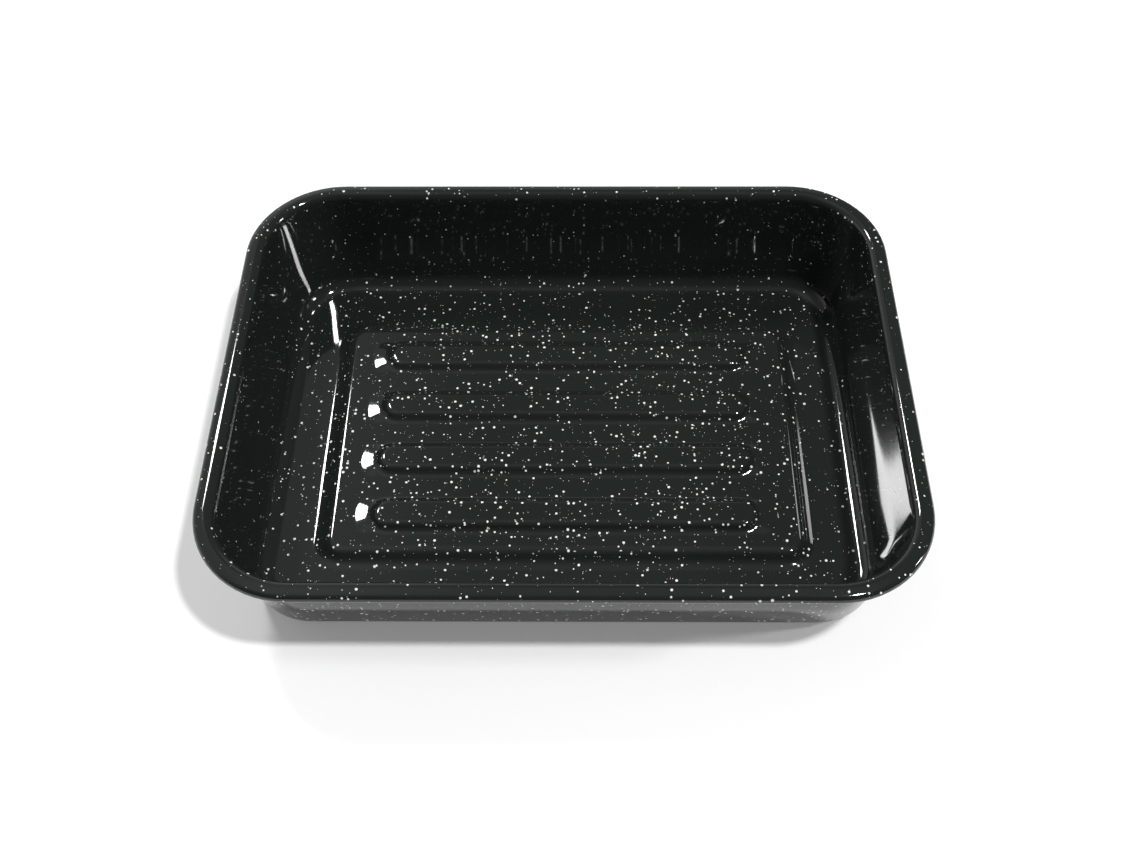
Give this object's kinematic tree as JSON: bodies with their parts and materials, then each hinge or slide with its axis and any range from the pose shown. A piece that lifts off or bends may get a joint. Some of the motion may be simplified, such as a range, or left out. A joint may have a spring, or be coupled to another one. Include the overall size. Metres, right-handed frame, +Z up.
{
  "type": "baking pan",
  "caption": "Rectangular enamelled steel baking pan with rolled rim, leaning walls and a raised ribbed floor; holds food for roasting or baking.",
  "frame": {"origin": "middle of the underside, on the surface that the pan stands on", "axes": "+X along the long side, +Y along the short side, +Z up out of the mouth"},
  "size_m": [0.355, 0.266, 0.066],
  "materials": {
    "enamel": "glossy black vitreous enamel with scattered white flecks"
  },
  "bodies": {
    "root": {"pan": "enamel"}
  },
  "joints": []
}
